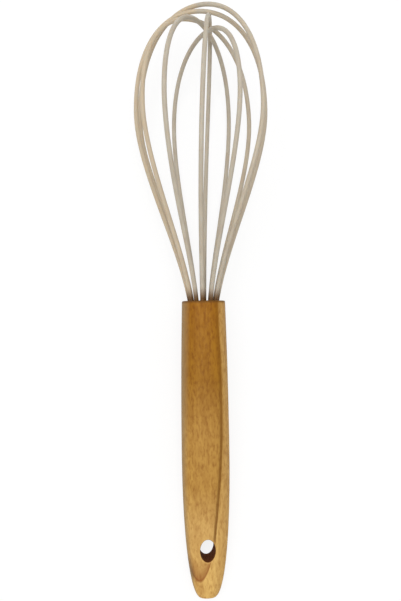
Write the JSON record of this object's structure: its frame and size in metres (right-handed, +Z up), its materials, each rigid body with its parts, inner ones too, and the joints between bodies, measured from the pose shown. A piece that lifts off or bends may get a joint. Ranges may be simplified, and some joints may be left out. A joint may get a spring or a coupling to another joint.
{
  "type": "silicone balloon whisk",
  "caption": "Balloon whisk with silicone-coated wire loops potted into a tapered wooden handle that has a hanging hole.",
  "frame": {"origin": "on the table, under the middle of the whisk's bounding box, as it lies at rest on two of its loops and its handle's tail", "axes": "+Y from the handle's butt towards the loops' tips, +Z up off the table, +X to the right with the handle's broad front turned up"},
  "size_m": [0.0668, 0.298, 0.0651],
  "materials": {
    "handle_wood": "oiled, satin, with lengthwise grain",
    "loop_silicone": "smooth satin taupe silicone",
    "core_steel": "drawn spring-steel wire",
    "spreader_nylon": "moulded nylon",
    "socket_resin": "cast amber resin"
  },
  "bodies": {
    "root": {"handle": "handle_wood", "wire_spreader": "spreader_nylon", "potting_resin": "socket_resin", "loop_1_silicone_sleeve": "loop_silicone", "loop_2_silicone_sleeve": "loop_silicone", "loop_3_silicone_sleeve": "loop_silicone", "loop_4_silicone_sleeve": "loop_silicone", "loop_5_silicone_sleeve": "loop_silicone", "loop_6_silicone_sleeve": "loop_silicone", "loop_1_steel_core": "core_steel", "loop_2_steel_core": "core_steel", "loop_3_steel_core": "core_steel", "loop_4_steel_core": "core_steel", "loop_5_steel_core": "core_steel", "loop_6_steel_core": "core_steel"}
  },
  "joints": []
}
